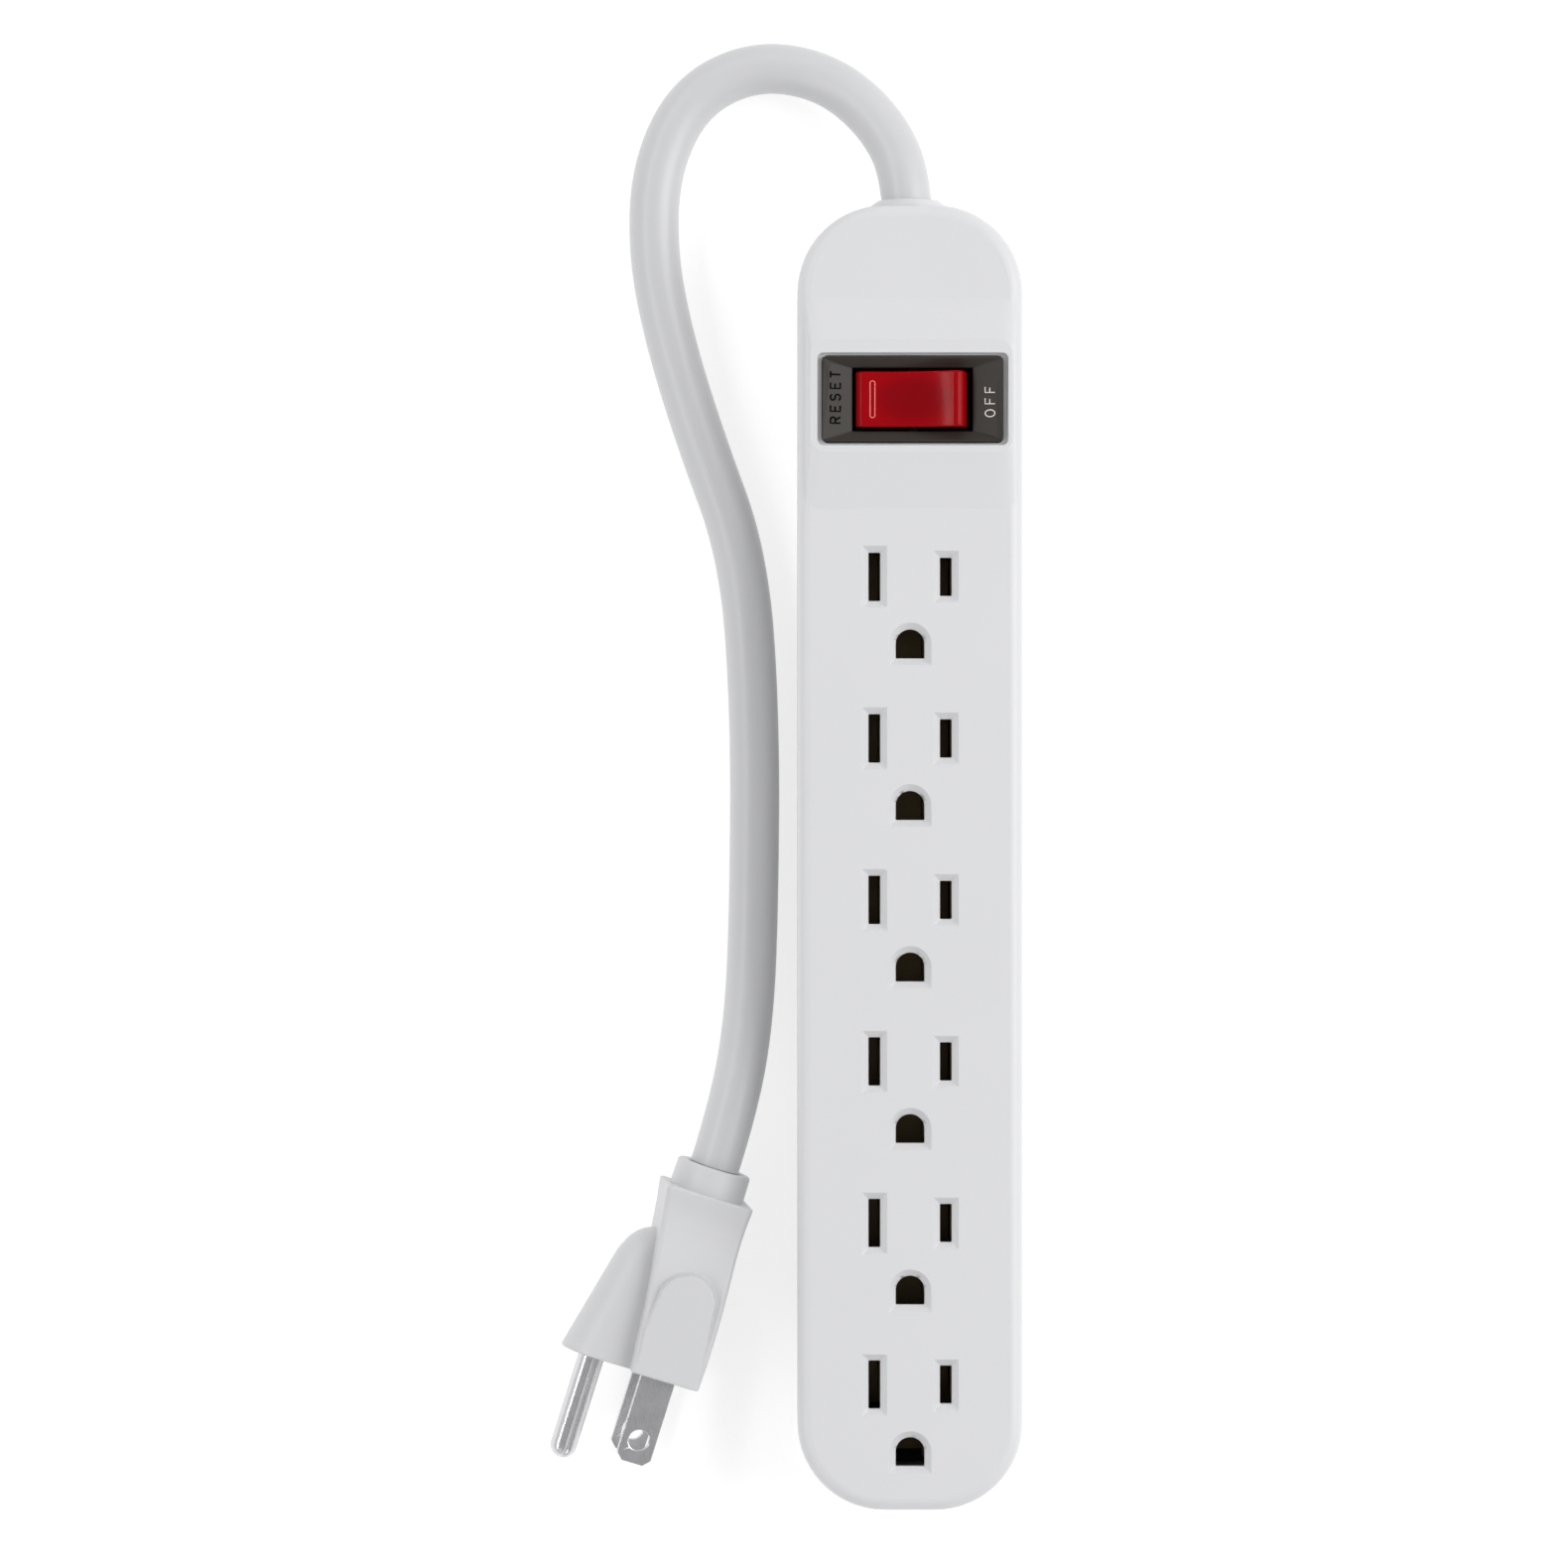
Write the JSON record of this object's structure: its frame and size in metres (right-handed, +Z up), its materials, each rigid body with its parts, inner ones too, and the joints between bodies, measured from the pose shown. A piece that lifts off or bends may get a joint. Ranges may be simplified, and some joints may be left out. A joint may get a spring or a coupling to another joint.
{
  "type": "power strip",
  "caption": "Flat power strip with a row of grounded outlets, a red rocker switch on a raised island, and a cord looping round to a straight grounded plug",
  "frame": {"origin": "the middle of the strip's back, on the surface it lies on", "axes": "X across the strip, Y along it toward the cord end, Z up out of the outlet face"},
  "size_m": [0.0846, 0.2636, 0.0308],
  "materials": {
    "case_plastic": "fine satin moulded plastic, cool light grey",
    "switch_plastic": "satin moulded plastic, warm dark grey",
    "rocker_plastic": "glossy translucent red plastic",
    "screw_steel": "zinc plated steel",
    "tray_plastic": "black moulded plastic",
    "contact_brass": "stamped brass strip",
    "silver_contact": "silver faced contact",
    "spring_steel": "spring steel",
    "lamp_glass": "clear lamp glass",
    "resistor_body": "lacquered resistor body",
    "black_insulation": "black wire insulation",
    "white_insulation": "white wire insulation",
    "green_insulation": "green wire insulation",
    "gland_plastic": "soft moulded plastic, light grey",
    "cord_jacket": "smooth flexible cord jacket, light grey",
    "plug_moulding": "soft moulded plug, light grey",
    "pin_nickel": "nickel plated brass"
  },
  "bodies": {
    "case": {"top_cover": "case_plastic", "base_shell": "case_plastic", "case_screws": "screw_steel", "contact_tray": "tray_plastic", "line_bus": "contact_brass", "neutral_bus": "contact_brass", "ground_bus": "contact_brass", "switch_housing": "switch_plastic", "rocker_pin": "screw_steel", "fixed_contact": "silver_contact", "line_terminal": "contact_brass", "load_terminal": "contact_brass", "lamp_terminal": "contact_brass", "bimetal_strip": "spring_steel", "line_wire": "black_insulation", "switched_wire": "black_insulation", "neutral_wire": "white_insulation", "lamp_wire": "white_insulation", "ground_wire": "green_insulation", "cord_gland": "gland_plastic", "power_cord": "cord_jacket", "plug_body": "plug_moulding", "plug_collar": "plug_moulding", "plug_line_blade": "pin_nickel", "plug_neutral_blade": "pin_nickel", "plug_ground_pin": "pin_nickel"},
    "rocker": {"rocker": "rocker_plastic", "plunger": "contact_brass", "rocker_spring": "spring_steel", "indicator_lamp": "lamp_glass", "lamp_resistor": "resistor_body"},
    "contact_arm": {"contact_arm": "contact_brass", "moving_contact": "silver_contact"}
  },
  "joints": [
    {"name": "rocker_tilt", "type": "hinge", "parent": "case", "child": "rocker", "pos_m": [0.00052, 0.0813, 0.024], "axis": [0, 1, 0], "range_deg": [0, 18]},
    {"name": "contact_arm_tilt", "type": "hinge", "parent": "case", "child": "contact_arm", "pos_m": [0.00052, 0.0813, 0.0137], "axis": [0, 1, 0], "range_deg": [-10, 0]}
  ],
  "couplings": [
    {"joint": "contact_arm_tilt", "follows": "rocker_tilt", "ratio": -0.55556}
  ]
}
